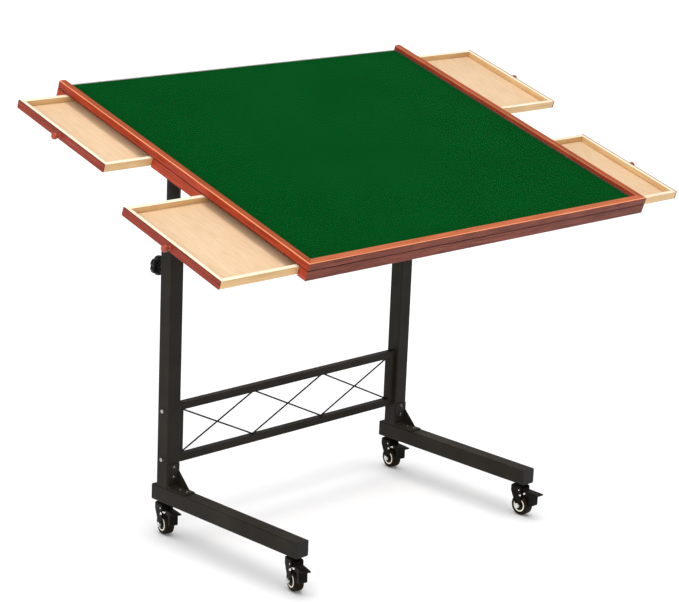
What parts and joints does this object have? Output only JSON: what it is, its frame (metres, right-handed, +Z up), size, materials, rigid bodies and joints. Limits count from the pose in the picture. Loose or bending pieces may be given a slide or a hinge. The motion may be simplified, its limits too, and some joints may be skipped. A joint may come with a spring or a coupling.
{
  "type": "jigsaw puzzle table with drawers",
  "caption": "Tilting wooden puzzle board with a green felt surface, side drawers and a clear cover, on a height-adjustable black steel stand with braked casters.",
  "frame": {"origin": "on the floor under the middle of the table's bounding box with its top tilted and its drawers part open", "axes": "+X to the user's right along the front rail, +Y from the user to the back, +Z up"},
  "size_m": [1.263, 0.6585, 0.8372],
  "materials": {
    "black_steel": "satin black powder coat",
    "black_wire": "satin black powder coat",
    "black_plastic": "moulded matt black",
    "black_fasteners": "black oxide",
    "zinc_fasteners": "bright zinc",
    "knob_plastic": "moulded matt black",
    "caster_black_steel": "gloss black enamel",
    "caster_wheel": "gloss black with a cream ring",
    "caster_axle_zinc": "bright zinc",
    "caster_pedal": "gloss black",
    "mahogany_frame": "red-brown stain under satin varnish",
    "mahogany_drawer_face": "red-brown stain under satin varnish",
    "mahogany_pull": "red-brown stain under gloss varnish",
    "pale_wood": "clear varnish",
    "green_felt": "short dense nap",
    "hardboard": "bare board",
    "batten_wood": "planed, bare",
    "clear_acrylic": "clear polished sheet"
  },
  "bodies": {
    "stand": {"foot_left": "black_steel", "foot_right": "black_steel", "foot_caps": "black_plastic", "leg_left": "black_steel", "leg_right": "black_steel", "leg_collars": "black_plastic", "panel_frame": "black_steel", "lattice_wires": "black_wire", "stand_bolts": "black_fasteners", "gusset_left": "black_steel", "gusset_right": "black_steel"},
    "height_clamp_left": {"height_knob_left": "knob_plastic"},
    "height_clamp_right": {"height_knob_right": "knob_plastic"},
    "mast": {"inner_tube_left": "black_steel", "inner_tube_right": "black_steel", "mast_head_left": "black_steel", "mast_head_right": "black_steel", "pivot_bolts": "zinc_fasteners"},
    "tilt_clamp_left": {"lock_knob_left": "knob_plastic"},
    "tilt_clamp_right": {"lock_knob_right": "knob_plastic"},
    "top": {"front_rail": "mahogany_frame", "rear_rail": "mahogany_frame", "left_rail": "mahogany_frame", "right_rail": "mahogany_frame", "base_board": "hardboard", "felt": "green_felt", "bottom_panel": "hardboard", "battens": "batten_wood", "bearer_left": "black_steel", "bearer_right": "black_steel", "bearer_screws": "zinc_fasteners"},
    "cover": {"clear_cover": "clear_acrylic"},
    "drawer_front_left": {"drawer_front_left_box": "pale_wood", "drawer_front_left_face": "mahogany_drawer_face", "drawer_front_left_pull": "mahogany_pull"},
    "drawer_front_right": {"drawer_front_right_box": "pale_wood", "drawer_front_right_face": "mahogany_drawer_face", "drawer_front_right_pull": "mahogany_pull"},
    "drawer_rear_left": {"drawer_rear_left_box": "pale_wood", "drawer_rear_left_face": "mahogany_drawer_face", "drawer_rear_left_pull": "mahogany_pull"},
    "drawer_rear_right": {"drawer_rear_right_box": "pale_wood", "drawer_rear_right_face": "mahogany_drawer_face", "drawer_rear_right_pull": "mahogany_pull"},
    "caster_front_left_swivel": {"caster_front_left_fork": "caster_black_steel", "caster_front_left_axle": "caster_axle_zinc"},
    "caster_front_left_roller": {"caster_front_left_wheel": "caster_wheel"},
    "caster_front_left_brake": {"caster_front_left_pedal": "caster_pedal"},
    "caster_front_right_swivel": {"caster_front_right_fork": "caster_black_steel", "caster_front_right_axle": "caster_axle_zinc"},
    "caster_front_right_roller": {"caster_front_right_wheel": "caster_wheel"},
    "caster_front_right_brake": {"caster_front_right_pedal": "caster_pedal"},
    "caster_rear_left_swivel": {"caster_rear_left_fork": "caster_black_steel", "caster_rear_left_axle": "caster_axle_zinc"},
    "caster_rear_left_roller": {"caster_rear_left_wheel": "caster_wheel"},
    "caster_rear_left_brake": {"caster_rear_left_pedal": "caster_pedal"},
    "caster_rear_right_swivel": {"caster_rear_right_fork": "caster_black_steel", "caster_rear_right_axle": "caster_axle_zinc"},
    "caster_rear_right_roller": {"caster_rear_right_wheel": "caster_wheel"},
    "caster_rear_right_brake": {"caster_rear_right_pedal": "caster_pedal"}
  },
  "joints": [
    {"name": "height_slide", "type": "slide", "parent": "stand", "child": "mast", "axis": [0, 0, 1], "range_m": [-0.09, 0.06]},
    {"name": "tilt", "type": "hinge", "parent": "mast", "child": "top", "pos_m": [-0.0115, 0.16014, 0.7228], "axis": [1, 0, 0], "range_deg": [-17.18, 22.82]},
    {"name": "cover_lift", "type": "slide", "parent": "top", "child": "cover", "axis": [0, -0.2954, 0.9554], "range_m": [0, 0.2]},
    {"name": "height_knob_left_turn", "type": "hinge", "parent": "stand", "child": "height_clamp_left", "pos_m": [-0.313, 0.18864, 0.506], "axis": [0, 1, 0], "range_deg": [0, 360]},
    {"name": "height_knob_right_turn", "type": "hinge", "parent": "stand", "child": "height_clamp_right", "pos_m": [0.29, 0.18864, 0.506], "axis": [0, 1, 0], "range_deg": [0, 360]},
    {"name": "lock_knob_left_turn", "type": "hinge", "parent": "mast", "child": "tilt_clamp_left", "pos_m": [-0.2957, 0.16014, 0.6888], "axis": [1, 0, 0], "range_deg": [0, 360]},
    {"name": "lock_knob_right_turn", "type": "hinge", "parent": "mast", "child": "tilt_clamp_right", "pos_m": [0.2727, 0.16014, 0.6888], "axis": [-1, 0, 0], "range_deg": [0, 360]},
    {"name": "drawer_front_left_slide", "type": "slide", "parent": "top", "child": "drawer_front_left", "axis": [-1, 0, 0], "range_m": [-0.168, 0.078]},
    {"name": "drawer_front_right_slide", "type": "slide", "parent": "top", "child": "drawer_front_right", "axis": [1, 0, 0], "range_m": [-0.127, 0.119]},
    {"name": "drawer_rear_left_slide", "type": "slide", "parent": "top", "child": "drawer_rear_left", "axis": [-1, 0, 0], "range_m": [-0.104, 0.142]},
    {"name": "drawer_rear_right_slide", "type": "slide", "parent": "top", "child": "drawer_rear_right", "axis": [1, 0, 0], "range_m": [-0.191, 0.055]},
    {"name": "caster_front_left_swivel_turn", "type": "hinge", "parent": "stand", "child": "caster_front_left_swivel", "pos_m": [-0.313, -0.18186, 0.064], "axis": [0, 0, 1], "continuous": true},
    {"name": "caster_front_left_wheel_spin", "type": "hinge", "parent": "caster_front_left_swivel", "child": "caster_front_left_roller", "pos_m": [-0.31528, -0.18848, 0.02], "axis": [0.9455, -0.3256, 0], "continuous": true},
    {"name": "caster_front_left_pedal_press", "type": "hinge", "parent": "caster_front_left_swivel", "child": "caster_front_left_brake", "pos_m": [-0.31528, -0.18848, 0.051], "axis": [0.9455, -0.3256, 0], "range_deg": [0, 8]},
    {"name": "caster_front_right_swivel_turn", "type": "hinge", "parent": "stand", "child": "caster_front_right_swivel", "pos_m": [0.29, -0.18186, 0.064], "axis": [0, 0, 1], "continuous": true},
    {"name": "caster_front_right_wheel_spin", "type": "hinge", "parent": "caster_front_right_swivel", "child": "caster_front_right_roller", "pos_m": [0.28988, -0.18886, 0.02], "axis": [0.9998, -0.0175, 0], "continuous": true},
    {"name": "caster_front_right_pedal_press", "type": "hinge", "parent": "caster_front_right_swivel", "child": "caster_front_right_brake", "pos_m": [0.28988, -0.18886, 0.051], "axis": [0.9998, -0.0175, 0], "range_deg": [0, 8]},
    {"name": "caster_rear_left_swivel_turn", "type": "hinge", "parent": "stand", "child": "caster_rear_left_swivel", "pos_m": [-0.313, 0.16914, 0.064], "axis": [0, 0, 1], "continuous": true},
    {"name": "caster_rear_left_wheel_spin", "type": "hinge", "parent": "caster_rear_left_swivel", "child": "caster_rear_left_roller", "pos_m": [-0.31445, 0.1623, 0.02], "axis": [0.9781, -0.2079, 0], "continuous": true},
    {"name": "caster_rear_left_pedal_press", "type": "hinge", "parent": "caster_rear_left_swivel", "child": "caster_rear_left_brake", "pos_m": [-0.31445, 0.1623, 0.051], "axis": [0.9781, -0.2079, 0], "range_deg": [0, 8]},
    {"name": "caster_rear_right_swivel_turn", "type": "hinge", "parent": "stand", "child": "caster_rear_right_swivel", "pos_m": [0.29, 0.16914, 0.064], "axis": [0, 0, 1], "continuous": true},
    {"name": "caster_rear_right_wheel_spin", "type": "hinge", "parent": "caster_rear_right_swivel", "child": "caster_rear_right_roller", "pos_m": [0.28915, 0.1622, 0.02], "axis": [0.9925, -0.1219, 0], "continuous": true},
    {"name": "caster_rear_right_pedal_press", "type": "hinge", "parent": "caster_rear_right_swivel", "child": "caster_rear_right_brake", "pos_m": [0.28915, 0.1622, 0.051], "axis": [0.9925, -0.1219, 0], "range_deg": [0, 8]}
  ]
}
